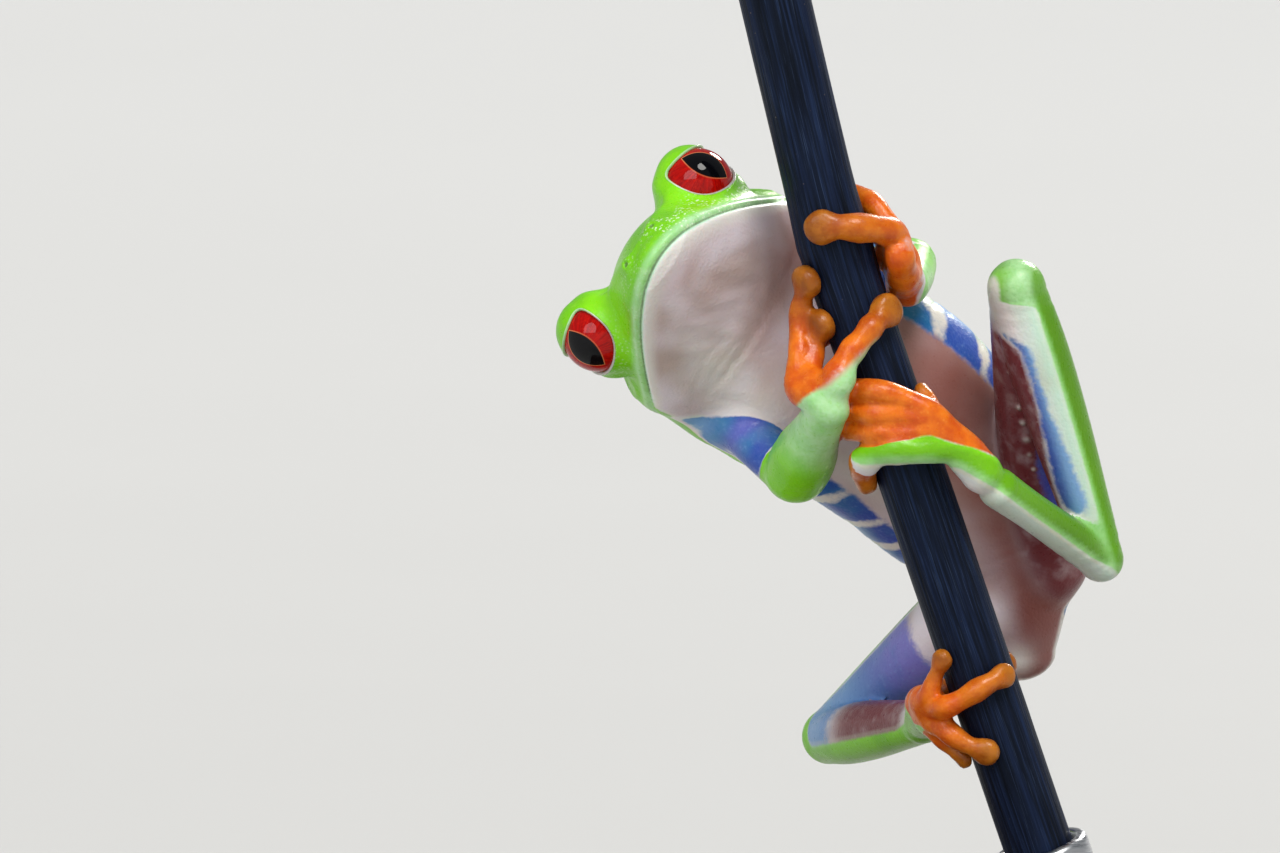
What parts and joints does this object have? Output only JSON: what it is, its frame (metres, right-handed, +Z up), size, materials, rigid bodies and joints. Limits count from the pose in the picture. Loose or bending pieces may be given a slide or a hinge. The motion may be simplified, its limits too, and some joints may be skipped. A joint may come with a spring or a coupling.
{
  "type": "red-eyed tree frog display model",
  "caption": "Life-size red-eyed tree frog gripping a cut length of dark stem, held on a plain display stand.",
  "frame": {"origin": "middle of the display stand's underside", "axes": "+Z up, -Y the side that the frog's belly and face look to, +X towards the frog's left leg"},
  "size_m": [0.078, 0.062, 0.0918],
  "materials": {
    "skin_green": "moist satin skin",
    "digit_orange": "moist skin",
    "eye_red": "wet gloss",
    "stem_bark": "satin bark",
    "stand_wood": "satin varnish",
    "stand_metal": "brushed"
  },
  "bodies": {
    "root": {"stand_base": "stand_wood", "stand_rod": "stand_metal", "stand_ferrule": "stand_metal", "perch_stem": "stem_bark", "eye_left": "eye_red", "eye_right": "eye_red", "trunk": "skin_green", "head": "skin_green", "thigh_left": "skin_green", "thigh_right": "skin_green", "shank_left": "skin_green", "shank_right": "skin_green", "upper_arm_left": "skin_green", "upper_arm_right": "skin_green", "forearm_left": "skin_green", "forearm_right": "skin_green", "tarsus_left": "skin_green", "tarsus_right": "skin_green", "hand_left": "digit_orange", "hand_right": "digit_orange", "foot_left": "digit_orange", "foot_right": "digit_orange"}
  },
  "joints": []
}
